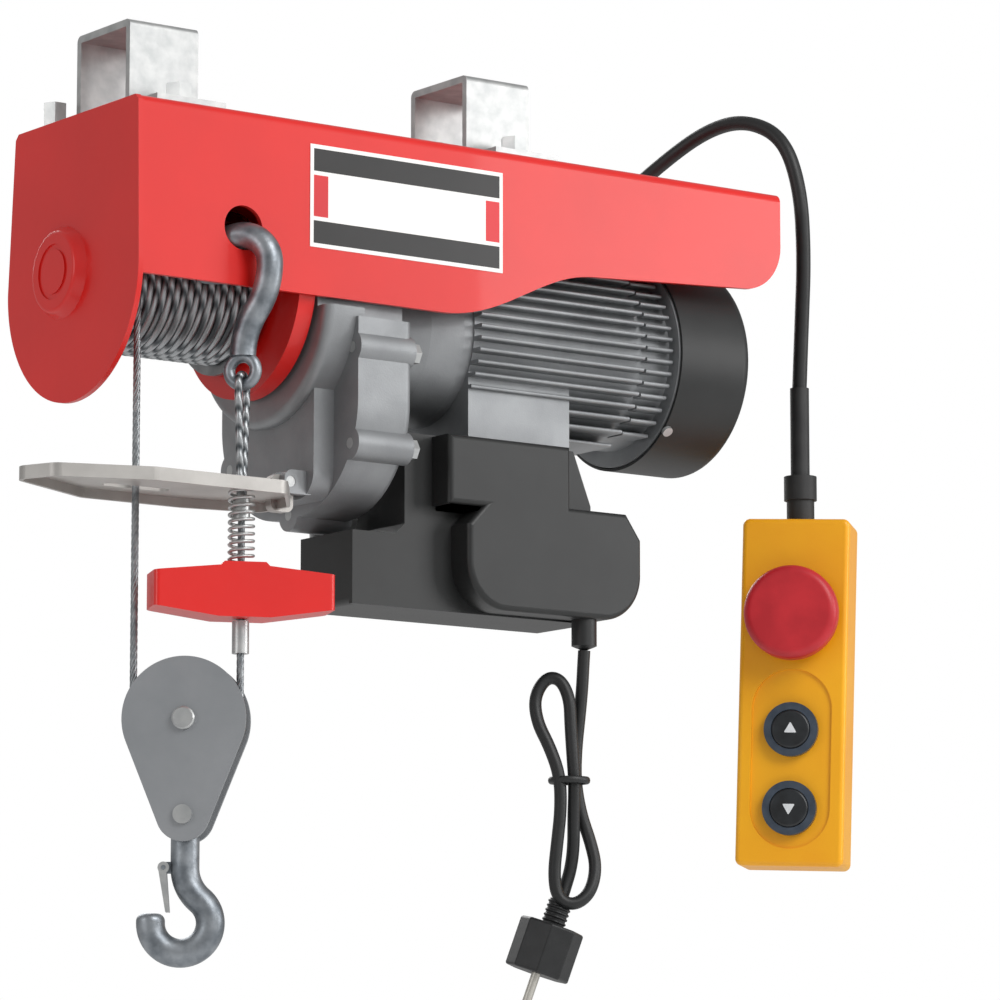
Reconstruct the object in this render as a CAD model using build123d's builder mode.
from build123d import *
import os
from math import acos, atan2, cos, degrees, pi, radians, sin, sqrt, tan

os.makedirs("parts", exist_ok=True)

# Mini electric wire rope hoist, in millimetres.
# +X runs from the drum to the motor, +Y to the rear, +Z up.
# The origin is the middle of the beam seat, on the frame's top face.

# driving dimensions
SHEET = 3.0  # frame plate thickness
HALF_WIDTH = 63.0  # frame half width, outside
LEFT_X = -148.0  # outer face of the end plate
RIGHT_X = 284.0  # motor end of the frame
APRON_Z = -95.0  # lower edge of the side plates at the drum
MOTOR_APRON_Z = -64.0  # lower edge where it steps up over the motor
SADDLE_X = 110.0  # saddles stand at plus and minus this
BEAM = 46.0  # clear width and height for the 45 mm beam
DRUM_Y, DRUM_Z = 12.0, -84.0  # drum axis
LAY_Z = DRUM_Z - 50.0  # layshaft axis, straight below the drum axis
STAGE_ONE = 38.0  # centre distance from motor pinion to layshaft gear
MOTOR_Z = LAY_Z + sqrt(STAGE_ONE**2 - DRUM_Y**2)  # motor axis, at Y = 0
ROPE_R = 2.0
WOUND_R = 38.0  # centreline radius of the outer rope layer
GAP = 0.05  # radial running clearance

# bearing and shaft radii
DRUM_SHAFT_R = 10.0
LAY_SHAFT_R = 6.0
ROTOR_SHAFT_R = 8.0

# stations along X
MID_PLATE_X = -43.0
CASE_X = -30.0
COVER_X = -6.0
MOTOR_X = 25.0
FINS_X = 77.0
END_SHIELD_X = 190.0
FAN_COVER_X = 214.0
TAIL_X = 265.0

# rope falls and block
FALL_X, FALL_Y = -124.3, DRUM_Y - WOUND_R  # fall that leaves the drum
DEAD_X, DEAD_Y = -81.5, -62.3  # fall that ends in the anchor hook
SHEAVE_Z = -325.0
SHEAVE_X, SHEAVE_Y = (FALL_X + DEAD_X) / 2, (FALL_Y + DEAD_Y) / 2
SHEAVE_R = sqrt((DEAD_X - FALL_X) ** 2 + (DEAD_Y - FALL_Y) ** 2) / 2
BLOCK_TURN = degrees(atan2(DEAD_Y - FALL_Y, DEAD_X - FALL_X))

# planes: side views look along +Y, end views along -X
SIDE = Plane.XZ
END = Plane.YZ


def axis_plane(x, y, z):
    """Plane across X with its origin on the axis at y, z."""
    return Plane(origin=(x, y, z), x_dir=(0, 1, 0), z_dir=(1, 0, 0))


def block_plane(out, z=SHEAVE_Z):
    """Plane along the block's cheeks, moved out by this much towards the front."""
    turn = radians(BLOCK_TURN)
    front = (sin(turn), -cos(turn), 0)
    origin = (SHEAVE_X + front[0] * out, SHEAVE_Y + front[1] * out, z)
    return Plane(origin=origin, x_dir=(cos(turn), sin(turn), 0), z_dir=front)


# frame shell: one folded channel, lower edge stepped up over the motor
CORNER_R = 27.0
HOOK_HOLE_X, HOOK_HOLE_Z, HOOK_HOLE_R = -82.0, -64.0, 12.0
SADDLE_BOLT_Y = 42.0
BOLT_R = 4.0
END_BOLT_X, END_BOLT_Y = -138.5, 38.0
with BuildPart() as frame_shell:
    with BuildSketch(SIDE):
        with BuildLine():
            Line((LEFT_X + SHEET, 0), (RIGHT_X, 0))
            Line((RIGHT_X, 0), (RIGHT_X, -58 + CORNER_R))
            RadiusArc((RIGHT_X, -58 + CORNER_R), (RIGHT_X - CORNER_R, -58), CORNER_R)
            Line((RIGHT_X - CORNER_R, -58), (147, MOTOR_APRON_Z))
            Bezier((147, MOTOR_APRON_Z), (112, -67), (88, APRON_Z), (47, APRON_Z))
            Line((47, APRON_Z), (LEFT_X + SHEET, APRON_Z))
            Line((LEFT_X + SHEET, APRON_Z), (LEFT_X + SHEET, 0))
        make_face()
    extrude(amount=HALF_WIDTH, both=True)
    folds = frame_shell.edges().filter_by(Axis.X).group_by(Axis.Z)[-1]
    fillet(folds, 5)
    with BuildSketch(END.offset(LEFT_X)):
        with Locations((0, -SHEET - 60)):
            RectangleRounded(2 * (HALF_WIDTH - SHEET), 120, 2.5)
        with Locations((0, -SHEET - 90)):
            Rectangle(2 * (HALF_WIDTH - SHEET), 120)
    extrude(amount=RIGHT_X - LEFT_X + 10, mode=Mode.SUBTRACT)
    with BuildSketch(Plane.XY):
        with GridLocations(2 * SADDLE_X, 2 * SADDLE_BOLT_Y, 2, 2):
            Circle(BOLT_R + 0.3)
        with Locations((END_BOLT_X, END_BOLT_Y)):
            Circle(BOLT_R + 0.3)
    extrude(amount=-2 * SHEET, mode=Mode.SUBTRACT)
    with BuildSketch(SIDE.offset(HALF_WIDTH)):
        with Locations((HOOK_HOLE_X, HOOK_HOLE_Z)):
            Circle(HOOK_HOLE_R)
    extrude(amount=-2 * SHEET, mode=Mode.SUBTRACT)
frame_shell.part.label = "frame_shell"
export_step(frame_shell.part, "parts/frame_shell.step")

# end plate: round-ended tongue with a pressed boss for the drum's outer bush
TONGUE_R, TONGUE_Y, TONGUE_Z = 67.0, 2.0, -88.0
BOSS_R, BOSS_OUT = 25.0, 6.0
with BuildPart() as end_plate:
    with BuildSketch(END.offset(LEFT_X)):
        with BuildLine():
            Polyline(
                (TONGUE_Y - TONGUE_R, TONGUE_Z),
                (-HALF_WIDTH, -3),
                (-HALF_WIDTH + 3, 0),
                (HALF_WIDTH - 3, 0),
                (HALF_WIDTH, -3),
                (TONGUE_Y + TONGUE_R, TONGUE_Z),
            )
            ThreePointArc(
                (TONGUE_Y + TONGUE_R, TONGUE_Z),
                (TONGUE_Y, TONGUE_Z - TONGUE_R),
                (TONGUE_Y - TONGUE_R, TONGUE_Z),
            )
        make_face()
    extrude(amount=SHEET)
    with BuildSketch(axis_plane(LEFT_X, DRUM_Y, DRUM_Z)):
        Circle(BOSS_R)
    extrude(amount=-BOSS_OUT, taper=30)
    rim = end_plate.edges().filter_by(GeomType.CIRCLE).sort_by(Axis.X)[0]
    fillet(rim, 2.5)
    with BuildSketch(axis_plane(LEFT_X + SHEET, DRUM_Y, DRUM_Z)):
        Circle(18)
    extrude(amount=-6.5, mode=Mode.SUBTRACT)
    with BuildSketch(axis_plane(LEFT_X - BOSS_OUT, DRUM_Y, DRUM_Z)):
        Circle(15)
        Circle(12, mode=Mode.SUBTRACT)
    extrude(amount=0.8, mode=Mode.SUBTRACT)
end_plate.part.label = "end_plate"
export_step(end_plate.part, "parts/end_plate.step")

# middle plate: dished tongue between drum and gearbox
MID_HALF = HALF_WIDTH - SHEET - 1.0
RIM_DEPTH = 10.0
with BuildPart() as middle_plate:
    for inset, start, depth, mode in (
        (0, 0, RIM_DEPTH, Mode.ADD),
        (SHEET, SHEET, RIM_DEPTH, Mode.SUBTRACT),
    ):
        with BuildSketch(END.offset(MID_PLATE_X + start)):
            with Locations((0, DRUM_Z)):
                Circle(MID_HALF - inset)
            with Locations((0, (DRUM_Z - SHEET) / 2 - inset / 2)):
                Rectangle(2 * (MID_HALF - inset), -DRUM_Z - SHEET - inset)
        extrude(amount=depth, mode=mode)
    with BuildSketch(axis_plane(MID_PLATE_X, DRUM_Y, DRUM_Z)):
        Circle(24)
    extrude(amount=SHEET, mode=Mode.SUBTRACT)
middle_plate.part.label = "middle_plate"
export_step(middle_plate.part, "parts/middle_plate.step")

# saddles: steel strips bent over the beam, with feet bolted to the frame
SADDLE_W, STRIP = 43.0, 4.0
LEG_OUT = BEAM / 2 + STRIP
FOOT_OUT = SADDLE_BOLT_Y + 13
with BuildPart() as saddles:
    for x in (-SADDLE_X, SADDLE_X):
        with BuildSketch(END.offset(x - SADDLE_W / 2)):
            with BuildLine():
                Polyline(
                    (-FOOT_OUT, 0),
                    (-FOOT_OUT, STRIP),
                    (-LEG_OUT, STRIP),
                    (-LEG_OUT, BEAM + STRIP),
                    (LEG_OUT, BEAM + STRIP),
                    (LEG_OUT, STRIP),
                    (FOOT_OUT, STRIP),
                    (FOOT_OUT, 0),
                    (LEG_OUT - STRIP, 0),
                    (LEG_OUT - STRIP, BEAM),
                    (-LEG_OUT + STRIP, BEAM),
                    (-LEG_OUT + STRIP, 0),
                    close=True,
                )
            make_face()
        extrude(amount=SADDLE_W)
    top = saddles.edges().filter_by(Axis.X).group_by(Axis.Z)[-1]
    fillet(top, 3.5)
    with BuildSketch(Plane.XY.offset(STRIP)):
        with GridLocations(2 * SADDLE_X, 2 * SADDLE_BOLT_Y, 2, 2):
            Circle(BOLT_R + 0.3)
    extrude(amount=-STRIP, mode=Mode.SUBTRACT)
saddles.part.label = "saddles"
export_step(saddles.part, "parts/saddles.step")

# hex bolts: washer, head, shank and nut in one solid each
HEAD_ACROSS = 13.0


def hex_bolt(seat, across, head, shank_r, shank, washer_r=0.0):
    """Hex head standing on the seat plane, with its shank behind the seat."""
    lift = 1.5 if washer_r else 0
    if washer_r:
        with BuildSketch(seat) as washer:
            Circle(washer_r)
        extrude(washer.sketch, amount=lift)
    with BuildSketch(seat.offset(lift)) as hexagon:
        RegularPolygon(across / sqrt(3), 6)
    extrude(hexagon.sketch, amount=head)
    with BuildSketch(seat) as round_shank:
        Circle(shank_r)
    extrude(round_shank.sketch, amount=-shank)


BOLTS = [(x, y, STRIP, 9) for x in (-SADDLE_X, SADDLE_X) for y in (-SADDLE_BOLT_Y, SADDLE_BOLT_Y)]
BOLTS.append((END_BOLT_X, END_BOLT_Y, 0, 0))
with BuildPart() as frame_bolts:
    for x, y, seat_z, washer_r in BOLTS:
        head_across = HEAD_ACROSS if washer_r else 12.0
        head = 8.0 if washer_r else 14.0
        seat = Plane(origin=(x, y, seat_z))
        hex_bolt(seat, head_across, head, BOLT_R, seat_z + 13, washer_r)
        with BuildSketch(Plane(origin=(x, y, -SHEET))):
            RegularPolygon(10 / sqrt(3), 6)
        extrude(amount=-6.5)
frame_bolts.part.label = "frame_bolts"
export_step(frame_bolts.part, "parts/frame_bolts.step")

# drum: barrel with two flanges on its shaft, and the wound rope
DRUM_LEFT, DRUM_RIGHT = -142.0, -47.0
BARREL_R, FLANGE_R, FLANGE = 30.0, 45.0, 3.0
with BuildPart() as drum:
    with BuildSketch(axis_plane(DRUM_LEFT, DRUM_Y, DRUM_Z)):
        Circle(FLANGE_R)
    extrude(amount=FLANGE)
    with BuildSketch(axis_plane(DRUM_LEFT, DRUM_Y, DRUM_Z)):
        Circle(BARREL_R)
    extrude(amount=DRUM_RIGHT - DRUM_LEFT)
    with BuildSketch(axis_plane(DRUM_RIGHT, DRUM_Y, DRUM_Z)):
        Circle(FLANGE_R)
    extrude(amount=-FLANGE)
    with BuildSketch(axis_plane(DRUM_LEFT, DRUM_Y, DRUM_Z)):
        Circle(DRUM_SHAFT_R)
    extrude(amount=DRUM_RIGHT - DRUM_LEFT, mode=Mode.SUBTRACT)
drum.part.label = "drum"
export_step(drum.part, "parts/drum.step")

SHAFT_END_X = -9.0
with BuildPart() as drum_shaft:
    with BuildSketch(axis_plane(LEFT_X - 2.5, DRUM_Y, DRUM_Z)):
        Circle(DRUM_SHAFT_R)
    extrude(amount=SHAFT_END_X - LEFT_X + 2.5)
    chamfer(drum_shaft.edges().filter_by(GeomType.CIRCLE), 0.8)
drum_shaft.part.label = "drum_shaft"
export_step(drum_shaft.part, "parts/drum_shaft.step")

WRAP_PITCH = 2 * ROPE_R + 0.2
WOUND_LEFT = DRUM_LEFT + FLANGE + 0.3
WRAPS = int((DRUM_RIGHT - DRUM_LEFT - 2 * FLANGE - 0.6) / WRAP_PITCH)
UNDER_R = WOUND_R - 2 * ROPE_R - 0.3  # lower layer, left bare up to the fall
with BuildPart() as rope_winding:
    with BuildSketch(Plane(origin=(0, DRUM_Y, DRUM_Z), x_dir=(1, 0, 0), z_dir=(0, -1, 0))):
        for wrap in range(WRAPS):
            x = WOUND_LEFT + (wrap + 0.5) * WRAP_PITCH
            layer_r = WOUND_R if x > FALL_X + ROPE_R else UNDER_R
            with Locations((x, (BARREL_R + layer_r) / 2)):
                Rectangle(WRAP_PITCH, layer_r - BARREL_R)
            with Locations((x, layer_r - 0.2)):
                Circle(WRAP_PITCH / 2)
    revolve(axis=Axis((0, DRUM_Y, DRUM_Z), (1, 0, 0)))
rope_winding.part.label = "rope_winding"
export_step(rope_winding.part, "parts/rope_winding.step")

DRUM_BEARING_R = 20.0

# gearbox: drum-side case, gasket and motor-side cover
NECK_HALF = 56.0
NECK_TOP = -9.0
SHOULDER_Z = -99.0
CASE_R, CASE_Z = 66.0, -92.0
WALL = 3.0
COVER_HALF, COVER_BOTTOM, COVER_R = 67.0, -206.0, 58.0
FLANGE_T = 5.0
LUGS = ((-61, -120), (61, -120), (-59, -172), (59, -172), (0, -204))


def case_outline(inset):
    """Drum-side outline: neck inside the frame and round belly below it."""
    with Locations((0, CASE_Z)):
        Circle(CASE_R - inset)
    with Locations((0, SHOULDER_Z + CASE_R)):
        Rectangle(2 * CASE_R, 2 * CASE_R, mode=Mode.SUBTRACT)
    with Locations((0, (NECK_TOP + SHOULDER_Z) / 2 - inset)):
        Rectangle(2 * (NECK_HALF - inset), NECK_TOP - SHOULDER_Z)


def cover_outline(inset):
    """Motor-side outline: neck inside the frame and deep round-bottomed belly."""
    top = SHOULDER_Z - 5 - inset
    bottom = COVER_BOTTOM + inset
    half = COVER_HALF - inset
    round_r = COVER_R - inset
    with BuildLine() as outline:
        Line((-half, top), (half, top))
        Line((half, top), (half, bottom + round_r))
        RadiusArc((half, bottom + round_r), (half - round_r, bottom), round_r)
        Line((half - round_r, bottom), (-half + round_r, bottom))
        RadiusArc((-half + round_r, bottom), (-half, bottom + round_r), round_r)
        Line((-half, bottom + round_r), (-half, top))
    make_face(outline.edges())
    with Locations((0, (NECK_TOP + top) / 2 - inset / 2)):
        Rectangle(2 * (NECK_HALF - inset), NECK_TOP - top - inset + 2)


with BuildPart() as gear_gasket:
    with BuildSketch(axis_plane(MID_PLATE_X + SHEET, 0, DRUM_Z)):
        Circle(54)
        with Locations((DRUM_Y, 0)):
            Circle(24, mode=Mode.SUBTRACT)
    extrude(amount=CASE_X - MID_PLATE_X - SHEET)
gear_gasket.part.label = "gear_gasket"
export_step(gear_gasket.part, "parts/gear_gasket.step")

# lower lobe of the case carries the lever pin and hides the limit switch
PIN_X, PIN_Z, PIN_R = -34.0, -192.0, 3.0
EAR_Y, EAR_W = -29.0, 6.0
LOBE_X, LOBE_FRONT, LOBE_REAR, LOBE_BOTTOM = -24.0, -44.0, 30.0, -200.0
with BuildPart() as gear_case:
    with BuildSketch(END.offset(CASE_X)):
        case_outline(0)
    extrude(amount=COVER_X - CASE_X)
    front_rims = gear_case.edges().group_by(Axis.X)[0]
    fillet(front_rims.filter_by(GeomType.CIRCLE), 5)
    with BuildSketch(END.offset(LOBE_X)):
        with Locations(((LOBE_FRONT + LOBE_REAR) / 2, (LOBE_BOTTOM + CASE_Z) / 2)):
            RectangleRounded(LOBE_REAR - LOBE_FRONT, CASE_Z - LOBE_BOTTOM, 14)
    extrude(amount=COVER_X - LOBE_X)
    with BuildSketch(END.offset(COVER_X)):
        cover_outline(0)
        for y, z in LUGS:
            with Locations((y, z)):
                Circle(9)
    extrude(amount=-FLANGE_T)
    for side in (-1, 1):
        ear_face = EAR_Y + side * (EAR_W / 2 + 0.3)
        with BuildSketch(SIDE.offset(-ear_face)):
            with Locations(((PIN_X + LOBE_X) / 2 + 1, PIN_Z)):
                RectangleRounded(LOBE_X - PIN_X + 10, 13, 5)
            with Locations((PIN_X, PIN_Z)):
                Circle(PIN_R, mode=Mode.SUBTRACT)
        extrude(amount=-side * 5)
    with BuildSketch(END.offset(COVER_X)):
        case_outline(WALL)
    extrude(amount=CASE_X + WALL - COVER_X, mode=Mode.SUBTRACT)
    with BuildSketch(END.offset(COVER_X)):
        with Locations(((LOBE_FRONT + LOBE_REAR) / 2, LOBE_BOTTOM + 20)):
            RectangleRounded(LOBE_REAR - LOBE_FRONT - 2 * WALL, 30, 8)
    extrude(amount=-COVER_X + LOBE_X + WALL, mode=Mode.SUBTRACT)
    with BuildSketch(axis_plane(CASE_X, DRUM_Y, DRUM_Z)):
        Circle(DRUM_BEARING_R)
    extrude(amount=WALL, mode=Mode.SUBTRACT)
    with BuildSketch(axis_plane(CASE_X + WALL, DRUM_Y, LAY_Z)):
        Circle(LAY_SHAFT_R + 2)
    extrude(amount=-1.5, mode=Mode.SUBTRACT)
    with BuildSketch(END.offset(COVER_X)):
        for y, z in LUGS:
            with Locations((y, z)):
                Circle(3.1)
    extrude(amount=-FLANGE_T, mode=Mode.SUBTRACT)
gear_case.part.label = "gear_case"
export_step(gear_case.part, "parts/gear_case.step")

with BuildPart() as gear_cover:
    with BuildSketch(END.offset(COVER_X)):
        cover_outline(0)
    extrude(amount=MOTOR_X - COVER_X)
    back_rims = gear_cover.edges().group_by(Axis.X)[-1]
    fillet(back_rims.filter_by(GeomType.CIRCLE), 5)
    with BuildSketch(END.offset(COVER_X)):
        for y, z in LUGS:
            with Locations((y, z)):
                Circle(9)
    extrude(amount=MOTOR_X - COVER_X)
    with BuildSketch(END.offset(COVER_X)):
        cover_outline(WALL)
    extrude(amount=MOTOR_X - COVER_X - WALL, mode=Mode.SUBTRACT)
    with BuildSketch(axis_plane(COVER_X, 0, MOTOR_Z)):
        Circle(15)
    extrude(amount=MOTOR_X - COVER_X, mode=Mode.SUBTRACT)
    with BuildSketch(axis_plane(MOTOR_X - WALL, DRUM_Y, LAY_Z)):
        Circle(LAY_SHAFT_R + 5)
    extrude(amount=-8)
    with BuildSketch(axis_plane(MOTOR_X - WALL - 8, DRUM_Y, LAY_Z)):
        Circle(LAY_SHAFT_R + 2)
    extrude(amount=10, mode=Mode.SUBTRACT)
    with BuildSketch(END.offset(COVER_X)):
        for y, z in LUGS:
            with Locations((y, z)):
                Circle(3.1)
    extrude(amount=MOTOR_X - COVER_X, mode=Mode.SUBTRACT)
gear_cover.part.label = "gear_cover"
export_step(gear_cover.part, "parts/gear_cover.step")

with BuildPart() as gear_screws:
    for y, z in LUGS:
        hex_bolt(axis_plane(MOTOR_X, y, z), 10, 6, 3, MOTOR_X - COVER_X + FLANGE_T)
gear_screws.part.label = "gear_screws"
export_step(gear_screws.part, "parts/gear_screws.step")

# gear train: motor pinion, layshaft gear and pinion, drum gear
PRESSURE = radians(25)
FINE, COARSE = 1.0, 2.0  # modules of the two stages
MOTOR_TEETH, LAY_TEETH = 12, 64
PINION_TEETH, DRUM_TEETH = 11, 39
FLANK_STEPS = 4
BACKLASH = 0.06  # share of the pitch taken off each tooth


def gear_outline(teeth, module, turned):
    """Involute spur gear outline, with one tooth centred at this angle."""
    pitch_r = teeth * module / 2
    base_r = pitch_r * cos(PRESSURE)
    tip_r = pitch_r + 0.9 * module
    root_r = pitch_r - 1.2 * module
    half_pitch = pi / 2 / teeth * (1 - 2 * BACKLASH)
    start_r = max(base_r, root_r)
    flank = []
    for step in range(FLANK_STEPS + 1):
        r = start_r + (tip_r - start_r) * step / FLANK_STEPS
        roll = acos(min(1.0, base_r / r))
        spread = (tan(PRESSURE) - PRESSURE) - (tan(roll) - roll)
        flank.append((r, half_pitch + spread))
    points = []
    for tooth in range(teeth):
        middle = turned + 2 * pi * tooth / teeth
        sides = [(root_r, -flank[0][1])] if root_r < start_r else []
        sides += [(r, -half) for r, half in flank]
        sides += [(r, half) for r, half in reversed(flank)]
        sides += [(root_r, flank[0][1])] if root_r < start_r else []
        points += [(r * cos(middle + a), r * sin(middle + a)) for r, a in sides]
    with BuildLine() as outline:
        Polyline(*points, close=True)
    make_face(outline.edges())


TO_LAY = atan2(LAY_Z - MOTOR_Z, DRUM_Y)  # from the motor axis to the layshaft
LAY_GEAR_X, LAY_GEAR_W = -4.0, 9.0
DRUM_GEAR_X, DRUM_GEAR_W = -22.0, 12.0
with BuildPart() as motor_pinion:
    with BuildSketch(axis_plane(LAY_GEAR_X - 0.5, 0, MOTOR_Z)):
        gear_outline(MOTOR_TEETH, FINE, TO_LAY)
    extrude(amount=LAY_GEAR_W + 1)
motor_pinion.part.label = "motor_pinion"
export_step(motor_pinion.part, "parts/motor_pinion.step")

with BuildPart() as layshaft_gear:
    with BuildSketch(axis_plane(LAY_GEAR_X, DRUM_Y, LAY_Z)):
        gear_outline(LAY_TEETH, FINE, TO_LAY + pi + pi / LAY_TEETH)
        Circle(LAY_SHAFT_R, mode=Mode.SUBTRACT)
        with PolarLocations(19, 6):
            Circle(5, mode=Mode.SUBTRACT)
    extrude(amount=LAY_GEAR_W)
layshaft_gear.part.label = "layshaft_gear"
export_step(layshaft_gear.part, "parts/layshaft_gear.step")

with BuildPart() as layshaft:
    with BuildSketch(axis_plane(CASE_X + WALL - 1, DRUM_Y, LAY_Z)):
        Circle(LAY_SHAFT_R)
    extrude(amount=MOTOR_X - WALL + 1.5 - CASE_X - WALL)
    with BuildSketch(axis_plane(DRUM_GEAR_X, DRUM_Y, LAY_Z)):
        gear_outline(PINION_TEETH, COARSE, pi / 2)
    extrude(amount=DRUM_GEAR_W + 1)
layshaft.part.label = "layshaft"
export_step(layshaft.part, "parts/layshaft.step")

with BuildPart() as drum_gear:
    with BuildSketch(axis_plane(DRUM_GEAR_X, DRUM_Y, DRUM_Z)):
        gear_outline(DRUM_TEETH, COARSE, -pi / 2 + pi / DRUM_TEETH)
        Circle(DRUM_SHAFT_R, mode=Mode.SUBTRACT)
        with PolarLocations(24, 6):
            Circle(6, mode=Mode.SUBTRACT)
    extrude(amount=DRUM_GEAR_W)
drum_gear.part.label = "drum_gear"
export_step(drum_gear.part, "parts/drum_gear.step")

# motor: front shield, finned housing, rear shield, fan cover
MOTOR_TUBE_R, MOTOR_FIN_R, BORE_R = 51.0, 58.0, 48.0
BEARING_R = 17.0
FIN, FIN_PITCH = 2.2, 6.5
FIN_ROWS = int(MOTOR_FIN_R / FIN_PITCH)
with BuildPart() as motor_shield:
    with BuildSketch(Plane(origin=(0, 0, MOTOR_Z), x_dir=(1, 0, 0), z_dir=(0, -1, 0))):
        with BuildLine():
            Polyline(
                (MOTOR_X, BEARING_R),
                (MOTOR_X, 42),
                (MOTOR_X + 8, 42),
                (MOTOR_X + 26, 47),
                (FINS_X - 6, 50),
                (FINS_X, 50),
                (FINS_X, 44),
                (MOTOR_X + 22, 40),
                (MOTOR_X + 14, 24),
                (MOTOR_X + 14, BEARING_R),
                close=True,
            )
        make_face()
    revolve(axis=Axis((0, 0, MOTOR_Z), (1, 0, 0)))
motor_shield.part.label = "motor_shield"
export_step(motor_shield.part, "parts/motor_shield.step")

PAD_RIGHT, PAD_HALF, PAD_BOTTOM = 146.0, 45.0, -160.0


def fins(start, wide, tip_r, rows):
    """Level cooling fins, long ones at the motor's waist and short ones above."""
    for row in range(-rows, rows + 1):
        rise = row * FIN_PITCH
        reach = sqrt(tip_r**2 - rise**2)
        with BuildSketch(axis_plane(start, 0, MOTOR_Z + rise)) as blade:
            RectangleRounded(2 * reach, FIN, FIN / 2 - 0.1)
        extrude(blade.sketch, amount=wide)


with BuildPart() as motor_housing:
    fins(FINS_X, END_SHIELD_X - FINS_X, MOTOR_FIN_R, FIN_ROWS)
    with BuildSketch(axis_plane(FINS_X, 0, MOTOR_Z)):
        Circle(MOTOR_TUBE_R)
    extrude(amount=END_SHIELD_X - FINS_X)
    with BuildSketch(SIDE.offset(PAD_HALF)):
        with Locations(((FINS_X + PAD_RIGHT) / 2, (PAD_BOTTOM + MOTOR_Z) / 2)):
            Rectangle(PAD_RIGHT - FINS_X, MOTOR_Z - PAD_BOTTOM)
    extrude(amount=-2 * PAD_HALF)
    with BuildSketch(axis_plane(FINS_X, 0, MOTOR_Z)):
        Circle(BORE_R)
    extrude(amount=END_SHIELD_X - FINS_X, mode=Mode.SUBTRACT)
motor_housing.part.label = "motor_housing"
export_step(motor_housing.part, "parts/motor_housing.step")

with BuildPart() as end_shield:
    fins(END_SHIELD_X + 3, 18, MOTOR_FIN_R - 2, FIN_ROWS - 1)
    with BuildSketch(axis_plane(END_SHIELD_X, 0, MOTOR_Z)):
        Circle(50)
    extrude(amount=FAN_COVER_X - END_SHIELD_X)
    with BuildSketch(axis_plane(FAN_COVER_X - 1, 0, MOTOR_Z)):
        Circle(59)
    extrude(amount=5)
    with BuildSketch(axis_plane(END_SHIELD_X, 0, MOTOR_Z)):
        Circle(44)
    extrude(amount=FAN_COVER_X - END_SHIELD_X - 6, mode=Mode.SUBTRACT)
    with BuildSketch(axis_plane(END_SHIELD_X, 0, MOTOR_Z)):
        Circle(BEARING_R)
    extrude(amount=FAN_COVER_X - END_SHIELD_X + 5, mode=Mode.SUBTRACT)
end_shield.part.label = "end_shield"
export_step(end_shield.part, "parts/end_shield.step")

FAN_COVER_R, SKIN = 61.0, 1.5
with BuildPart() as fan_cover:
    with BuildSketch(axis_plane(FAN_COVER_X, 0, MOTOR_Z)):
        Circle(FAN_COVER_R)
    extrude(amount=TAIL_X - FAN_COVER_X)
    fillet(fan_cover.edges().filter_by(GeomType.CIRCLE).sort_by(Axis.X)[-1], 7)
    with BuildSketch(axis_plane(FAN_COVER_X, 0, MOTOR_Z)):
        Circle(FAN_COVER_R - SKIN)
    extrude(amount=TAIL_X - FAN_COVER_X - 9, mode=Mode.SUBTRACT)
    with BuildSketch(axis_plane(FAN_COVER_X, 0, MOTOR_Z)):
        Circle(FAN_COVER_R - 8)
    extrude(amount=TAIL_X - FAN_COVER_X - SKIN, mode=Mode.SUBTRACT)
    for ring_r, slots in ((20, 8), (30, 12), (40, 16)):
        with BuildSketch(axis_plane(TAIL_X, 0, MOTOR_Z)):
            with PolarLocations(ring_r, slots):
                SlotOverall(8, 3.2)
        extrude(amount=-2 * SKIN, mode=Mode.SUBTRACT)
fan_cover.part.label = "fan_cover"
export_step(fan_cover.part, "parts/fan_cover.step")

with BuildPart() as fan_cover_screws:
    for turn in (45, 135, 225, 315):
        y, z = cos(radians(turn)), sin(radians(turn))
        seat_r = FAN_COVER_R
        seat = Plane(
            origin=(FAN_COVER_X + 2, seat_r * y, MOTOR_Z + seat_r * z), z_dir=(0, y, z)
        )
        with BuildSketch(seat):
            Circle(3)
        extrude(amount=2)
fan_cover_screws.part.label = "fan_cover_screws"
export_step(fan_cover_screws.part, "parts/fan_cover_screws.step")

CORE_LEFT, CORE_RIGHT = 95.0, 172.0
with BuildPart() as stator:
    with BuildSketch(axis_plane(CORE_LEFT, 0, MOTOR_Z)):
        Circle(BORE_R)
        Circle(34, mode=Mode.SUBTRACT)
    extrude(amount=CORE_RIGHT - CORE_LEFT)
stator.part.label = "stator"
export_step(stator.part, "parts/stator.step")

with BuildPart() as stator_windings:
    for x, wide in ((CORE_LEFT, -12), (CORE_RIGHT, 12)):
        with BuildSketch(axis_plane(x, 0, MOTOR_Z)):
            Circle(44)
            Circle(35, mode=Mode.SUBTRACT)
        extrude(amount=wide)
stator_windings.part.label = "stator_windings"
export_step(stator_windings.part, "parts/stator_windings.step")

# bushes and bearings: start, width, outer radius, shaft radius and axis of each
BEARINGS = (
    (LEFT_X - 2.8, 5.3, 18, DRUM_SHAFT_R, DRUM_Y, DRUM_Z),
    (CASE_X - 3, 8, DRUM_BEARING_R, DRUM_SHAFT_R, DRUM_Y, DRUM_Z),
    (CASE_X + WALL - 1.5, 3, LAY_SHAFT_R + 2, LAY_SHAFT_R, DRUM_Y, LAY_Z),
    (MOTOR_X - WALL - 8, 8, LAY_SHAFT_R + 2, LAY_SHAFT_R, DRUM_Y, LAY_Z),
    (MOTOR_X + 1, 9, BEARING_R, ROTOR_SHAFT_R, 0, MOTOR_Z),
    (FAN_COVER_X - 5, 9, BEARING_R, ROTOR_SHAFT_R, 0, MOTOR_Z),
)
with BuildPart() as shaft_bearings:
    for x, wide, outer_r, shaft_r, y, z in BEARINGS:
        with BuildSketch(axis_plane(x, y, z)):
            Circle(outer_r)
            Circle(shaft_r + GAP, mode=Mode.SUBTRACT)
        extrude(amount=wide)
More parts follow.
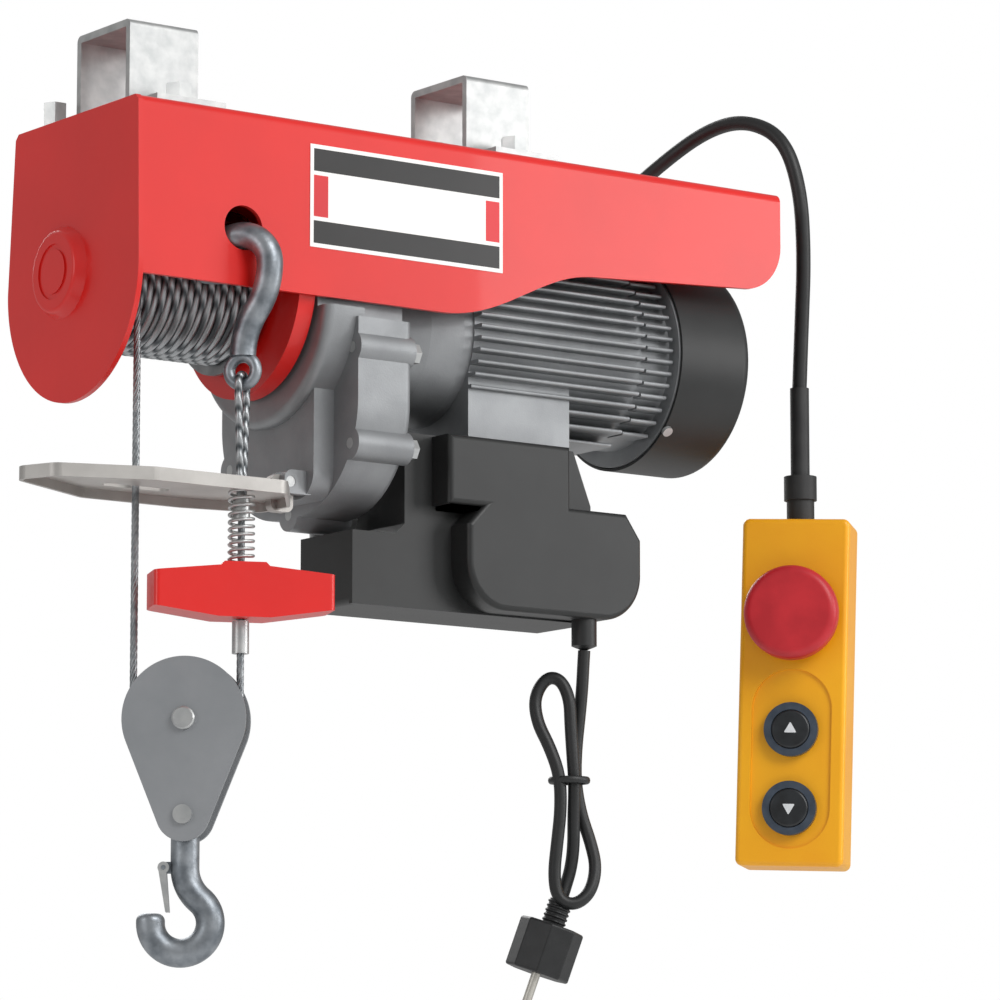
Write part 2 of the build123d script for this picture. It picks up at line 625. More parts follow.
shaft_bearings.part.label = "shaft_bearings"
export_step(shaft_bearings.part, "parts/shaft_bearings.step")

PINION_END = LAY_GEAR_X + LAY_GEAR_W + 0.5
with BuildPart() as rotor:
    with BuildSketch(axis_plane(PINION_END, 0, MOTOR_Z)):
        Circle(ROTOR_SHAFT_R)
    extrude(amount=248 - PINION_END)
    with BuildSketch(axis_plane(CORE_LEFT, 0, MOTOR_Z)):
        Circle(33.4)
    extrude(amount=CORE_RIGHT - CORE_LEFT)
rotor.part.label = "rotor"
export_step(rotor.part, "parts/rotor.step")

FAN_X = 226.0
with BuildPart() as fan:
    with BuildSketch(axis_plane(FAN_X, 0, MOTOR_Z)):
        Circle(16)
    extrude(amount=16)
    with BuildSketch(axis_plane(FAN_X, 0, MOTOR_Z)):
        with PolarLocations(30, 9):
            Rectangle(36, 2)
    extrude(amount=16)
    with BuildSketch(axis_plane(FAN_X, 0, MOTOR_Z)):
        Circle(48)
    extrude(amount=2)
    with BuildSketch(axis_plane(FAN_X, 0, MOTOR_Z)):
        Circle(ROTOR_SHAFT_R)
    extrude(amount=16, mode=Mode.SUBTRACT)
fan.part.label = "fan"
export_step(fan.part, "parts/fan.step")

# junction box under the motor, and its front cover with the capacitor behind it
BOX_LEFT, BOX_RIGHT, BOX_BOTTOM = 0.0, 160.0, -256.0
BOX_FRONT, BOX_REAR = -43.0, 4.0
BOX_STEP_X, BOX_STEP_Z = 34.0, -216.0
BOX_WALL = 2.5


def box_outline(inset):
    """L-shaped side view: low under the gearbox, tall under the motor."""
    with BuildLine() as outline:
        Polyline(
            (BOX_LEFT + inset, BOX_BOTTOM + inset),
            (BOX_RIGHT - inset, BOX_BOTTOM + inset),
            (BOX_RIGHT - inset, PAD_BOTTOM - 30),
            (BOX_RIGHT - 12 - inset, PAD_BOTTOM - inset),
            (BOX_STEP_X + inset, PAD_BOTTOM - inset),
            (BOX_STEP_X + inset, BOX_STEP_Z + 6 - inset),
            (BOX_STEP_X - 6 + inset, BOX_STEP_Z - inset),
            (BOX_LEFT + inset, BOX_STEP_Z - inset),
            close=True,
        )
    make_face(outline.edges())


with BuildPart() as junction_box:
    with BuildSketch(SIDE.offset(-BOX_FRONT)):
        box_outline(0)
    extrude(amount=BOX_FRONT - BOX_REAR)
    with BuildSketch(SIDE.offset(-BOX_FRONT)):
        box_outline(BOX_WALL)
    extrude(amount=BOX_FRONT - BOX_REAR + BOX_WALL, mode=Mode.SUBTRACT)
    corners = junction_box.edges().filter_by(Axis.Y).group_by(Axis.Z)[0]
    fillet(corners.sort_by(Axis.X)[0], 4)
junction_box.part.label = "junction_box"
export_step(junction_box.part, "parts/junction_box.step")

LID_LEFT, LID_RIGHT, LID_TOP, LID_BOTTOM = 65.0, 183.0, -195.0, -255.0
NECK_LEFT, NECK_RIGHT = 52.0, 134.0
LID_DEPTH = 20.0
LID_R = 26.0


def lid_outline(inset):
    """Front cover: neck under the motor pad and a big rounded capacitor bulge."""
    left, right = LID_LEFT + inset, LID_RIGHT - inset
    top, bottom = LID_TOP - inset, LID_BOTTOM + inset
    with BuildLine() as outline:
        Line((left + 14, top), (right - 10, top))
        Line((right - 10, top), (right, top - 14))
        Line((right, top - 14), (right, bottom + LID_R))
        RadiusArc((right, bottom + LID_R), (right - LID_R, bottom), LID_R)
        Line((right - LID_R, bottom), (left + LID_R, bottom))
        RadiusArc((left + LID_R, bottom), (left, bottom + LID_R), LID_R)
        Line((left, bottom + LID_R), (left, top - 14))
        Line((left, top - 14), (left + 14, top))
    make_face(outline.edges())
    neck_left, neck_right = NECK_LEFT + inset, NECK_RIGHT - inset
    neck_top = PAD_BOTTOM - 1 - inset
    with Locations(((neck_left + neck_right) / 2, (neck_top + top - 4) / 2)):
        Rectangle(neck_right - neck_left, neck_top - top + 4)


LID_PLATE = 3.0
with BuildPart() as junction_cover:
    with BuildSketch(SIDE.offset(-BOX_FRONT)):
        lid_outline(0)
    extrude(amount=LID_DEPTH)
    face_edges = junction_cover.edges().group_by(Axis.Y)[0]
    fillet(face_edges, 3)
    with BuildSketch(SIDE.offset(-BOX_FRONT)):
        box_outline(0)
    extrude(amount=LID_PLATE)
    with BuildSketch(SIDE.offset(-BOX_FRONT)):
        lid_outline(BOX_WALL)
    extrude(amount=LID_DEPTH - BOX_WALL, mode=Mode.SUBTRACT)
junction_cover.part.label = "junction_cover"
export_step(junction_cover.part, "parts/junction_cover.step")

with BuildPart() as capacitor:
    with BuildSketch(axis_plane(70, -22, -228)):
        Circle(17)
    extrude(amount=75)
capacitor.part.label = "capacitor"
export_step(capacitor.part, "parts/capacitor.step")

with BuildPart() as terminal_block:
    with BuildSketch(Plane.XY.offset(BOX_BOTTOM + BOX_WALL)):
        with Locations((34, -14)):
            Rectangle(60, 16)
    extrude(amount=14)
    with BuildSketch(Plane.XY.offset(BOX_BOTTOM + BOX_WALL + 14)):
        for place in range(5):
            with Locations((10 + 12 * place, -14)):
                Circle(3)
    extrude(amount=-6, mode=Mode.SUBTRACT)
terminal_block.part.label = "terminal_block"
export_step(terminal_block.part, "parts/terminal_block.step")

# limit switch lever: pressed tray below the drum, with slots for both rope falls
LEVER_TOP = -200.0
LEVER_LEFT, LEVER_RIGHT = -206.0, -30.0
LEVER_FRONT, LEVER_REAR = -82.0, -6.0
LEVER_SHEET, LIP, LEVER_CORNER = 2.0, 7.0, 8.0
with BuildPart() as stop_lever:
    with BuildSketch(Plane.XY.offset(LEVER_TOP)):
        with BuildLine():
            Polyline(
                (LEVER_LEFT, LEVER_REAR - 34),
                (LEVER_LEFT + 10, LEVER_FRONT + 18),
                (LEVER_LEFT + 60, LEVER_FRONT),
                (DEAD_X + 16, LEVER_FRONT),
                (LEVER_RIGHT - 8, EAR_Y - 14),
                (LEVER_RIGHT - 8, EAR_Y + 14),
                (FALL_X + 40, LEVER_REAR),
                (LEVER_LEFT + 60, LEVER_REAR),
                close=True,
            )
        make_face()
        fillet(vertices(), LEVER_CORNER)
    extrude(amount=-LIP)
    under = stop_lever.faces().sort_by(Axis.Z)[0]
    offset(amount=-LEVER_SHEET, openings=under)
    with BuildSketch(Plane.XY.offset(LEVER_TOP)):
        with Locations((DEAD_X, DEAD_Y)):
            Circle(5)
        with Locations((FALL_X, FALL_Y)):
            SlotOverall(40, 9)
    extrude(amount=-LIP, mode=Mode.SUBTRACT)
    with BuildSketch(SIDE.offset(-EAR_Y - EAR_W / 2)):
        with Locations((PIN_X - 2, (PIN_Z + LEVER_TOP) / 2 - 2)):
            RectangleRounded(14, 20, 4)
        with Locations((PIN_X, PIN_Z)):
            Circle(PIN_R + GAP, mode=Mode.SUBTRACT)
    extrude(amount=EAR_W)
stop_lever.part.label = "stop_lever"
export_step(stop_lever.part, "parts/stop_lever.step")

with BuildPart() as lever_pin:
    with BuildSketch(SIDE.offset(-EAR_Y - EAR_W / 2 - 5)):
        with Locations((PIN_X, PIN_Z)):
            Circle(PIN_R)
    extrude(amount=EAR_W + 10)
lever_pin.part.label = "lever_pin"
export_step(lever_pin.part, "parts/lever_pin.step")

with BuildPart() as limit_switch:
    with BuildSketch(END.offset(LOBE_X + WALL)):
        with Locations((-8, LOBE_BOTTOM + 20)):
            Rectangle(28, 15)
    extrude(amount=10)
limit_switch.part.label = "limit_switch"
export_step(limit_switch.part, "parts/limit_switch.step")

# hook block: two cheeks, sheave on its axle, crosshead for the swivel hook
CHEEK_R, CHEEK_FOOT_R, CROSS_DROP = 32.5, 14.0, -50.0
CHEEK_IN, CHEEK_T = 8.0, 3.0
AXLE_R, TRUNNION_R = 6.0, 5.0
for name, start in (("front_cheek", CHEEK_IN), ("back_cheek", -CHEEK_IN - CHEEK_T)):
    with BuildPart() as cheek:
        with BuildSketch(block_plane(start)):
            Circle(CHEEK_R)
            with Locations((0, CROSS_DROP)):
                Circle(CHEEK_FOOT_R)
            make_hull()
        extrude(amount=CHEEK_T)
        with BuildSketch(block_plane(start)):
            Circle(AXLE_R)
            with Locations((0, CROSS_DROP)):
                Circle(TRUNNION_R)
        extrude(amount=CHEEK_T, mode=Mode.SUBTRACT)
    cheek.part.label = name
    export_step(cheek.part, f"parts/{name}.step")

SHEAVE_HALF, SHEAVE_RIM_R = 6.0, SHEAVE_R + 3.0
SHEAVE_AXIS = Axis(block_plane(0).origin, block_plane(0).z_dir)
with BuildPart() as sheave:
    with BuildSketch(block_plane(-SHEAVE_HALF)):
        Circle(SHEAVE_RIM_R)
        Circle(AXLE_R + GAP, mode=Mode.SUBTRACT)
    extrude(amount=2 * SHEAVE_HALF)
    groove = block_plane(0)
    with BuildSketch(Plane(groove.origin, x_dir=groove.x_dir, z_dir=(0, 0, 1))):
        with Locations((SHEAVE_R, 0)):
            Circle(ROPE_R + 0.2)
        with Locations((SHEAVE_R + 3, 0)):
            Rectangle(6, 2 * ROPE_R + 1)
    revolve(axis=SHEAVE_AXIS, mode=Mode.SUBTRACT)
sheave.part.label = "sheave"
export_step(sheave.part, "parts/sheave.step")

OUT_FACE = CHEEK_IN + CHEEK_T
with BuildPart() as sheave_axle:
    with BuildSketch(block_plane(-OUT_FACE - 3)):
        Circle(AXLE_R)
    extrude(amount=2 * OUT_FACE + 6)
    chamfer(sheave_axle.edges().filter_by(GeomType.CIRCLE), 0.8)
sheave_axle.part.label = "sheave_axle"
export_step(sheave_axle.part, "parts/sheave_axle.step")

SHANK_R = 5.0
HOOK_TOP = SHEAVE_Z + CROSS_DROP
with BuildPart() as crosshead:
    with BuildSketch(block_plane(-OUT_FACE - 2, HOOK_TOP)):
        Circle(TRUNNION_R)
    extrude(amount=2 * OUT_FACE + 4)
    with BuildSketch(block_plane(-CHEEK_IN + 0.3, HOOK_TOP)):
        Circle(9)
    extrude(amount=2 * CHEEK_IN - 0.6)
    with BuildSketch(Plane(origin=(SHEAVE_X, SHEAVE_Y, HOOK_TOP - 10))):
        Circle(SHANK_R + GAP)
    extrude(amount=20, mode=Mode.SUBTRACT)
crosshead.part.label = "crosshead"
export_step(crosshead.part, "parts/crosshead.step")

# swivel hook: shank with its nut, and a forged bowl that faces the front left
HOOK_TURN = radians(-36)
HOOK_FACE = Plane(
    origin=(SHEAVE_X, SHEAVE_Y, HOOK_TOP),
    x_dir=(cos(HOOK_TURN), sin(HOOK_TURN), 0),
    z_dir=(sin(HOOK_TURN), -cos(HOOK_TURN), 0),
)
BOWL_R, HOOK_R = 15.5, 7.5
LATCH_X, LATCH_Y = -11.0, -27.0
LUG_R, LUG_HALF, LATCH_HALF, LATCH_PIN_R = 3.0, 1.5, 4.0, 1.2
with BuildPart() as cargo_hook:
    with BuildSketch(Plane(origin=(SHEAVE_X, SHEAVE_Y, HOOK_TOP + 9.3))):
        Circle(SHANK_R)
    extrude(amount=-21)
    with BuildSketch(Plane(origin=(SHEAVE_X, SHEAVE_Y, HOOK_TOP + 9.3))):
        RegularPolygon(7.5, 6)
    extrude(amount=4.5)
    with BuildLine(HOOK_FACE) as hook_line:
        neck = Line((0, -11.5), (0, -27))
        swell = JernArc(start=neck @ 1, tangent=neck % 1, radius=22, arc_size=50)
        bowl = JernArc(start=swell @ 1, tangent=swell % 1, radius=BOWL_R, arc_size=-230)
        tip = Line(bowl @ 1, bowl @ 1 + (bowl % 1) * 5)
    with BuildSketch(Plane(origin=hook_line.line @ 0, z_dir=(0, 0, -1))):
        Circle(HOOK_R)
    sweep(path=hook_line.line)
    fillet(cargo_hook.edges().filter_by(GeomType.CIRCLE).sort_by_distance(hook_line.line @ 1)[0], 4)
    with BuildSketch(HOOK_FACE.offset(-LUG_HALF)):
        with Locations((LATCH_X, LATCH_Y)):
            Circle(LUG_R)
        with Locations((LATCH_X / 2 - 1, LATCH_Y)):
            Rectangle(-LATCH_X - 2, 2 * LUG_R)
    extrude(amount=2 * LUG_HALF)
    with BuildSketch(HOOK_FACE.offset(-LATCH_HALF - 0.4)):
        with Locations((LATCH_X, LATCH_Y)):
            Circle(LATCH_PIN_R)
    extrude(amount=2 * LATCH_HALF + 0.8)
cargo_hook.part.label = "cargo_hook"
export_step(cargo_hook.part, "parts/cargo_hook.step")

# sprung safety latch: forked tongue on the hook's pin, resting inside the tip
with BuildPart() as hook_latch:
    with BuildSketch(HOOK_FACE.offset(-LATCH_HALF)):
        with BuildLine():
            Polyline((-13.8, -27), (-9.4, -29.5), (-7.8, -50), (-9.8, -50), close=True)
        make_face()
        with Locations((LATCH_X, LATCH_Y)):
            Circle(LUG_R)
    extrude(amount=2 * LATCH_HALF)
    with BuildSketch(HOOK_FACE.offset(-LUG_HALF - 0.3)):
        with Locations((LATCH_X, LATCH_Y)):
            Circle(LUG_R + 1)
    extrude(amount=2 * LUG_HALF + 0.6, mode=Mode.SUBTRACT)
    with BuildSketch(HOOK_FACE.offset(-LATCH_HALF)):
        with Locations((LATCH_X, LATCH_Y)):
            Circle(LATCH_PIN_R + GAP)
    extrude(amount=2 * LATCH_HALF, mode=Mode.SUBTRACT)
hook_latch.part.label = "hook_latch"
export_step(hook_latch.part, "parts/hook_latch.step")

# rope falls and the bight round the sheave
EYE_FERRULE_Z, EYE_FERRULE_L, FERRULE_R = -208.0, 12.0, 4.5
with BuildPart() as rope_fall_drum:
    with BuildSketch(Plane(origin=(FALL_X, FALL_Y, DRUM_Z))):
        Circle(ROPE_R)
    extrude(amount=SHEAVE_Z - DRUM_Z)
rope_fall_drum.part.label = "rope_fall_drum"
export_step(rope_fall_drum.part, "parts/rope_fall_drum.step")

with BuildPart() as rope_fall_anchor:
    with BuildSketch(Plane(origin=(DEAD_X, DEAD_Y, EYE_FERRULE_Z - EYE_FERRULE_L))):
        Circle(ROPE_R)
    extrude(amount=SHEAVE_Z - EYE_FERRULE_Z + EYE_FERRULE_L)
rope_fall_anchor.part.label = "rope_fall_anchor"
export_step(rope_fall_anchor.part, "parts/rope_fall_anchor.step")

with BuildPart() as rope_bight:
    with BuildSketch(Plane(groove.origin, x_dir=groove.x_dir, z_dir=(0, 0, 1))):
        with Locations((SHEAVE_R, 0)):
            Circle(ROPE_R)
    revolve(axis=Axis(groove.origin, groove.z_dir), revolution_arc=-180)
rope_bight.part.label = "rope_bight"
export_step(rope_bight.part, "parts/rope_bight.step")

# anchor hook: forged S shape hung in the front plate's hole, with an eye below
ANCHOR_TURN = radians(-55)
ANCHOR_R, ARCH_R = 7.0, 16.0
ARCH_Z = HOOK_HOLE_Z - HOOK_HOLE_R + ANCHOR_R + 1.1 - ARCH_R
ANCHOR_FACE = Plane(
    origin=(HOOK_HOLE_X, -HALF_WIDTH + SHEET / 2, ARCH_Z),
    x_dir=(cos(ANCHOR_TURN), sin(ANCHOR_TURN), 0),
    z_dir=(sin(ANCHOR_TURN), -cos(ANCHOR_TURN), 0),
)
EYE_R, EYE_WIRE = 7.5, 3.2
with BuildPart() as anchor_hook:
    with BuildLine(ANCHOR_FACE) as anchor_line:
        inside = Line((-ARCH_R, -8), (-ARCH_R, 0))
        arch = JernArc(start=inside @ 1, tangent=inside % 1, radius=ARCH_R, arc_size=-180)
        back = JernArc(start=arch @ 1, tangent=arch % 1, radius=44, arc_size=-34)
        down = JernArc(start=back @ 1, tangent=back % 1, radius=44, arc_size=34)
    with BuildSketch(Plane(origin=anchor_line.line @ 0, z_dir=(0, 0, 1))):
        Circle(ANCHOR_R)
    sweep(path=anchor_line.line)
    stem_end = anchor_line.line @ 1
    eye_plane = Plane(
        origin=(stem_end.X, stem_end.Y, stem_end.Z - EYE_R),
        x_dir=ANCHOR_FACE.x_dir,
        z_dir=ANCHOR_FACE.z_dir,
    )
    with BuildSketch(Plane(eye_plane.origin, x_dir=eye_plane.x_dir, z_dir=(0, 0, 1))):
        with Locations((EYE_R, 0)):
            Circle(EYE_WIRE)
    revolve(axis=Axis(eye_plane.origin, eye_plane.z_dir))
anchor_hook.part.label = "anchor_hook"
export_step(anchor_hook.part, "parts/anchor_hook.step")

# rope eye: the dead fall doubled back over the anchor hook's eye, and its ferrules
LOOP_HALF = 5.6
LOOP_TOP = eye_plane.origin.Z - EYE_R + EYE_WIRE + 0.3 + ROPE_R
with BuildPart() as rope_eye:
    loop_face = Plane(
        origin=(DEAD_X, DEAD_Y, LOOP_TOP - LOOP_HALF),
        x_dir=ANCHOR_FACE.z_dir,
        z_dir=-ANCHOR_FACE.x_dir,
    )
    low = EYE_FERRULE_Z - LOOP_TOP + LOOP_HALF
    with BuildLine(loop_face) as loop_line:
        FilletPolyline(
            (-ROPE_R, low),
            (-ROPE_R, low + 8),
            (-LOOP_HALF, -6),
            (-LOOP_HALF, LOOP_HALF),
            (LOOP_HALF, LOOP_HALF),
            (LOOP_HALF, -6),
            (ROPE_R, low + 8),
            (ROPE_R, low),
            radius=(9, 9, LOOP_HALF - 0.1, LOOP_HALF - 0.1, 9, 9),
        )
    with BuildSketch(Plane(origin=loop_line.line @ 0, z_dir=(0, 0, 1))):
        Circle(ROPE_R)
    sweep(path=loop_line.line)
rope_eye.part.label = "rope_eye"
export_step(rope_eye.part, "parts/rope_eye.step")

WEIGHT_TOP, WEIGHT_BOTTOM = -243.5, -272.5
STOP_FERRULE_L = 17.0
with BuildPart() as rope_ferrules:
    with BuildSketch(Plane(origin=(DEAD_X, DEAD_Y, EYE_FERRULE_Z))):
        Circle(FERRULE_R)
    extrude(amount=-EYE_FERRULE_L)
    with BuildSketch(Plane(origin=(DEAD_X, DEAD_Y, WEIGHT_BOTTOM - 1))):
        Circle(FERRULE_R)
        Circle(ROPE_R, mode=Mode.SUBTRACT)
    extrude(amount=-STOP_FERRULE_L)
rope_ferrules.part.label = "rope_ferrules"
export_step(rope_ferrules.part, "parts/rope_ferrules.step")

# stop weight that slides on the dead fall, and the spring above it
WEIGHT_TURN = radians(-22)
WEIGHT_HALF, WEIGHT_DEEP = 48.0, 13.0
SPRING_R, SPRING_WIRE, COILS = 6.3, 0.9, 10
SPRING_TOP = LEVER_TOP - LEVER_SHEET - 0.5 - SPRING_WIRE
with BuildPart() as stop_weight:
    weight_face = Plane(
        origin=(DEAD_X, DEAD_Y, (WEIGHT_TOP + WEIGHT_BOTTOM) / 2),
        x_dir=(cos(WEIGHT_TURN), sin(WEIGHT_TURN), 0),
        z_dir=(sin(WEIGHT_TURN), -cos(WEIGHT_TURN), 0),
    )
    with BuildSketch(weight_face.offset(-WEIGHT_DEEP)):
        with BuildLine():
            Polyline(
                (-WEIGHT_HALF, -9.5),
                (-14, -14.5),
                (14, -14.5),
                (WEIGHT_HALF, -9.5),
                (WEIGHT_HALF, 9),
                (13, 12.5),
                (11, 14.5),
                (-11, 14.5),
                (-13, 12.5),
                (-WEIGHT_HALF, 9),
                close=True,
            )
        make_face()
    extrude(amount=2 * WEIGHT_DEEP)
    fillet(stop_weight.edges().filter_by(Axis.Z), 3)
    with BuildSketch(Plane(origin=(DEAD_X, DEAD_Y, WEIGHT_TOP))):
        Circle(ROPE_R + 0.6)
    extrude(amount=WEIGHT_BOTTOM - WEIGHT_TOP, mode=Mode.SUBTRACT)
stop_weight.part.label = "stop_weight"
export_step(stop_weight.part, "parts/stop_weight.step")

with BuildPart() as stop_spring:
    spring_foot = WEIGHT_TOP + SPRING_WIRE + 0.1
    spring_rise = SPRING_TOP - spring_foot
    with BuildLine():
        coil = Helix(
            pitch=spring_rise / COILS,
            height=spring_rise,
            radius=SPRING_R,
            center=(DEAD_X, DEAD_Y, spring_foot),
        )
    with BuildSketch(Plane(origin=coil @ 0, z_dir=coil % 0)):
        Circle(SPRING_WIRE)
    sweep(path=coil, is_frenet=True)
stop_spring.part.label = "stop_spring"
export_step(stop_spring.part, "parts/stop_spring.step")

# pendant: two shells, stop mushroom, up and down buttons with bezels
PEND_X, PEND_Y, PEND_TOP, PEND_H = 326.0, -28.0, -183.0, 200.0
PEND_W, PEND_D, PEND_SKIN = 62.0, 40.0, 2.5
PEND_TURN, PEND_LEAN = radians(-47), radians(1.8)
STOP_Z, UP_Z, DOWN_Z = PEND_TOP - 56.0, PEND_TOP - 122.0, PEND_TOP - 167.0


def pendant_plane(out, z):
    """Plane parallel to the pendant's face at this height, moved out to the front."""
    front = Vector(sin(PEND_TURN), -cos(PEND_TURN), 0)
    level = Vector(cos(PEND_TURN), sin(PEND_TURN), 0)
    rise = level * sin(PEND_LEAN) + Vector(0, 0, cos(PEND_LEAN))
    origin = Vector(PEND_X, PEND_Y, PEND_TOP) + rise * (z - PEND_TOP) + front * out
    return Plane(origin, x_dir=rise.cross(front), z_dir=front)


PEND_MID = PEND_TOP - PEND_H / 2
with BuildPart() as pendant_back:
    with BuildSketch(pendant_plane(-PEND_D / 2, PEND_MID)):
        RectangleRounded(PEND_W, PEND_H, 4)
    extrude(amount=PEND_D / 2 - 4)
    fillet(pendant_back.faces().sort_by(Axis(pendant_plane(0, 0).origin, pendant_plane(0, 0).z_dir))[0].edges(), 3)
    with BuildSketch(pendant_plane(-PEND_D / 2 + PEND_SKIN, PEND_MID)):
        RectangleRounded(PEND_W - 2 * PEND_SKIN, PEND_H - 2 * PEND_SKIN, 2)
    extrude(amount=PEND_D / 2, mode=Mode.SUBTRACT)
pendant_back.part.label = "pendant_back"
export_step(pendant_back.part, "parts/pendant_back.step")

BUTTON_R, STEM_R = 11.0, 8.0
with BuildPart() as pendant_front:
    with BuildSketch(pendant_plane(-4, PEND_MID)):
        RectangleRounded(PEND_W, PEND_H, 4)
    extrude(amount=PEND_D / 2 + 4)
    fillet(pendant_front.faces().sort_by(Axis(pendant_plane(0, 0).origin, pendant_plane(0, 0).z_dir))[-1].edges(), 3)
    with BuildSketch(pendant_plane(-4, PEND_MID)):
        RectangleRounded(PEND_W - 2 * PEND_SKIN, PEND_H - 2 * PEND_SKIN, 2)
    extrude(amount=PEND_D / 2 + 4 - PEND_SKIN - 2, mode=Mode.SUBTRACT)
    with BuildSketch(pendant_plane(PEND_D / 2, (UP_Z + DOWN_Z) / 2 + 6)):
        SlotOverall(UP_Z - DOWN_Z + 58, 46, rotation=90)
    extrude(amount=-1.5, mode=Mode.SUBTRACT)
    for z, r in ((STOP_Z, STEM_R + 0.1), (UP_Z, BUTTON_R + 0.1), (DOWN_Z, BUTTON_R + 0.1)):
        with BuildSketch(pendant_plane(PEND_D / 2, z)):
            Circle(r)
        extrude(amount=-10, mode=Mode.SUBTRACT)
pendant_front.part.label = "pendant_front"
export_step(pendant_front.part, "parts/pendant_front.step")

with BuildPart() as button_bezels:
    for z in (UP_Z, DOWN_Z):
        with BuildSketch(pendant_plane(PEND_D / 2 - 1.5, z)):
            Circle(15.5)
            Circle(BUTTON_R + 0.3, mode=Mode.SUBTRACT)
        extrude(amount=5)
button_bezels.part.label = "button_bezels"
export_step(button_bezels.part, "parts/button_bezels.step")

for name, z in (("up_button", UP_Z), ("down_button", DOWN_Z)):
    with BuildPart() as button:
        with BuildSketch(pendant_plane(PEND_D / 2 - 9, z)):
            Circle(BUTTON_R)
        extrude(amount=14)
        tips = button.faces().sort_by(Axis(pendant_plane(0, 0).origin, pendant_plane(0, 0).z_dir))[-1]
        fillet(tips.edges(), 1.5)
    button.part.label = name
    export_step(button.part, f"parts/{name}.step")

MUSHROOM_R = 27.0
with BuildPart() as stop_button:
    with BuildSketch(pendant_plane(PEND_D / 2 - 9, STOP_Z)):
        Circle(STEM_R)
    extrude(amount=18)
    with BuildSketch(pendant_plane(PEND_D / 2 + 8, STOP_Z)):
        Circle(MUSHROOM_R)
    extrude(amount=11)
    cap = stop_button.faces().sort_by(Axis(pendant_plane(0, 0).origin, pendant_plane(0, 0).z_dir))[-1]
    fillet(cap.edges(), 5)
stop_button.part.label = "stop_button"
export_step(stop_button.part, "parts/stop_button.step")

# glands: pendant cable's sleeve and nut, and the two glands of the junction box
SLEEVE_TOP = -104.0
with BuildPart() as pendant_gland:
    for top, bottom, r in ((SLEEVE_TOP, -156, 5.5), (-156, -170, 9.5), (-170, PEND_TOP, 8)):
        with BuildSketch(Plane(origin=(PEND_X, PEND_Y, top))):
            Circle(r)
        extrude(amount=bottom - top)
pendant_gland.part.label = "pendant_gland"
export_step(pendant_gland.part, "parts/pendant_gland.step")

LEAD_X, LEAD_Y, LEAD_Z = 150.0, -53.0, -272.0
PEND_EXIT_X, PEND_EXIT_Z = 60.0, -225.0
GLAND_OUT = 14.0
with BuildPart() as box_glands:
    with BuildSketch(Plane(origin=(LEAD_X, LEAD_Y, LID_BOTTOM))):
        Circle(7)
    extrude(amount=LEAD_Z - LID_BOTTOM)
    chamfer(box_glands.edges().filter_by(GeomType.CIRCLE).sort_by(Axis.Z)[0], 2.5, 6)
    with BuildSketch(SIDE.offset(-BOX_REAR)):
        with Locations((PEND_EXIT_X, PEND_EXIT_Z)):
            Circle(9)
    extrude(amount=-GLAND_OUT)
box_glands.part.label = "box_glands"
export_step(box_glands.part, "parts/box_glands.step")


def bend_radii(points):
    """Radius for each corner: 0.45 of the shorter run over the half turn's tangent."""
    radii = []
    for before, here, after in zip(points, points[1:], points[2:]):
        into, out = Vector(*here) - Vector(*before), Vector(*after) - Vector(*here)
        half_turn = radians(into.get_angle(out)) / 2
        radii.append(0.45 * min(into.length, out.length) / tan(half_turn))
    return radii


CABLE_R = 4.25
PENDANT_ROUTE = [
    (60, 18, -225),
    (60, 44, -224),
    (64, 84, -212),
    (83, 112, -177),
    (117, 114, -131),
    (164, 106, -82),
    (214, 94, -36),
    (260, 76, 6),
    (288, 50, 40),
    (300, 22, 56),
    (306, -6, 57),
    (313, -31, 43),
    (319, -39, 12),
    (323, -37, -28),
    (325.5, -31, -68),
    (326, -28, -104),
]
with BuildPart() as pendant_cable:
    radii = bend_radii(PENDANT_ROUTE)
    with BuildLine() as cable_line:
        FilletPolyline(*PENDANT_ROUTE, radius=radii)
    with BuildSketch(Plane(origin=cable_line.line @ 0, z_dir=cable_line.line % 0)):
        Circle(CABLE_R)
    sweep(path=cable_line.line)
    run = sum(edge.length for edge in cable_line.line.edges())
    print("pendant cable", run, pendant_cable.part.volume / (pi * CABLE_R**2 * run))
pendant_cable.part.label = "pendant_cable"
export_step(pendant_cable.part, "parts/pendant_cable.step")

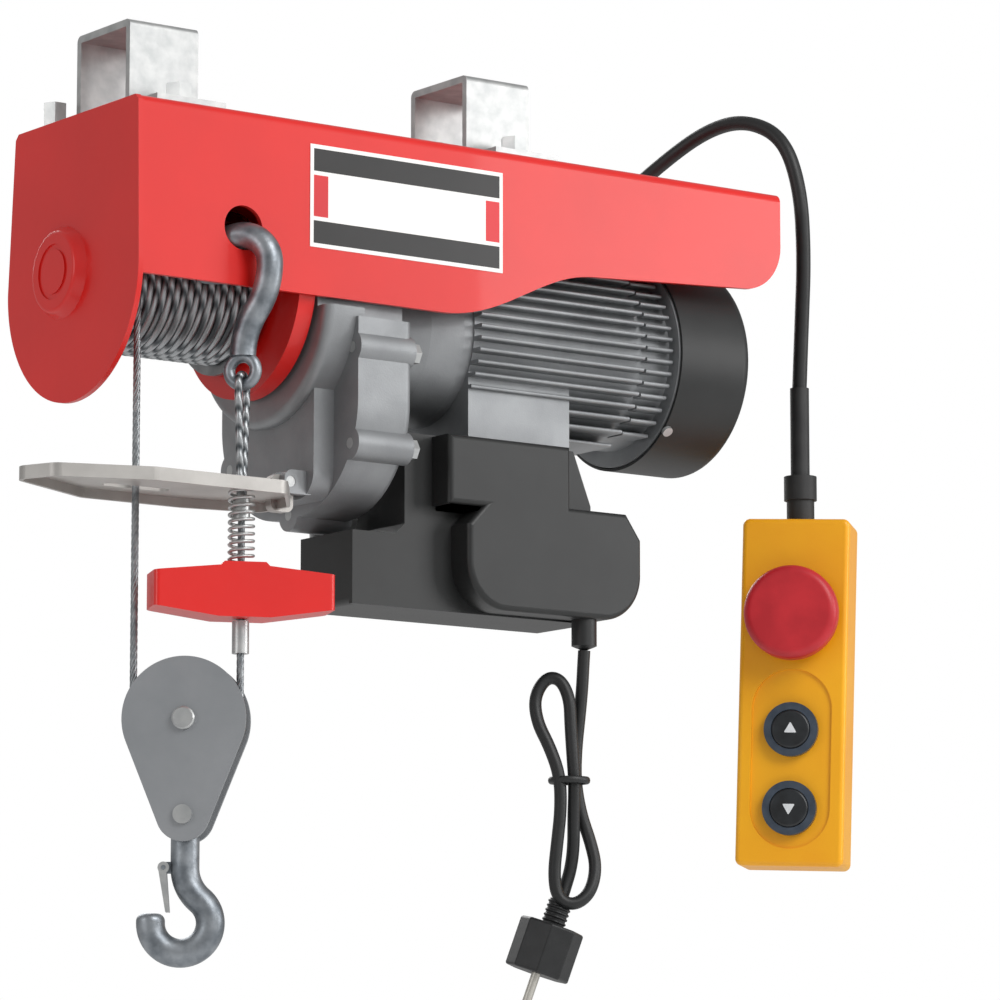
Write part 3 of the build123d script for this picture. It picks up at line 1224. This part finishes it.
# power lead: short tube to the hank, tied hank of three passes, and the plug
LEAD_R = 3.5
HANK_TOP, HANK_BOTTOM = -292.0, -414.0
LEAD_ROUTE = [
    (150, -53, -272),
    (149.5, -52.7, -280),
    (147, -52, HANK_TOP),
]
with BuildPart() as power_lead:
    radii = bend_radii(LEAD_ROUTE)
    with BuildLine() as lead_line:
        FilletPolyline(*LEAD_ROUTE, radius=radii)
    with BuildSketch(Plane(origin=lead_line.line @ 0, z_dir=lead_line.line % 0)):
        Circle(LEAD_R)
    sweep(path=lead_line.line)
power_lead.part.label = "power_lead"
export_step(power_lead.part, "parts/power_lead.step")

HANK_X, HANK_Y = 138.0, -49.0
LEAD_FACE = Plane(
    origin=(HANK_X, HANK_Y, HANK_TOP),
    x_dir=(cos(radians(-36)), sin(radians(-36)), 0),
    z_dir=(sin(radians(-36)), -cos(radians(-36)), 0),
)
with BuildPart() as lead_hank:
    with BuildSketch(LEAD_FACE.offset(-9)):
        with BuildLine():
            Spline((-14, -8), (-6, 0), (12, -2), (13, -40), (15, -70), (19, -104), (8, -121), (-6, -118), (-5, -70), (-8, -40), (-14, -8), periodic=False)
        make_face()
    extrude(amount=18)
lead_hank.part.label = "lead_hank"
export_step(lead_hank.part, "parts/lead_hank.step")

PLUG_LEAN = radians(19)
PLUG_TOP = LEAD_FACE.from_local_coords(Vector(-1, HANK_BOTTOM - HANK_TOP + 4, 0))
across = LEAD_FACE.x_dir
plug_down = Vector(-across.X * sin(PLUG_LEAN), -across.Y * sin(PLUG_LEAN), -cos(PLUG_LEAN))
with BuildPart() as plug:
    plug_plane = Plane(origin=PLUG_TOP, x_dir=LEAD_FACE.z_dir, z_dir=plug_down)
    with BuildSketch(plug_plane):
        Circle(6)
    extrude(amount=14)
    with BuildSketch(plug_plane.offset(14)):
        RegularPolygon(18, 8)
    extrude(amount=28)
    fillet(plug.edges().filter_by(GeomType.LINE), 1.5)
    with BuildSketch(plug_plane.offset(42)):
        with Locations((9.5, 0), (-9.5, 0)):
            Circle(2.4)
    extrude(amount=19)
plug.part.label = "plug"
export_step(plug.part, "parts/plug.step")
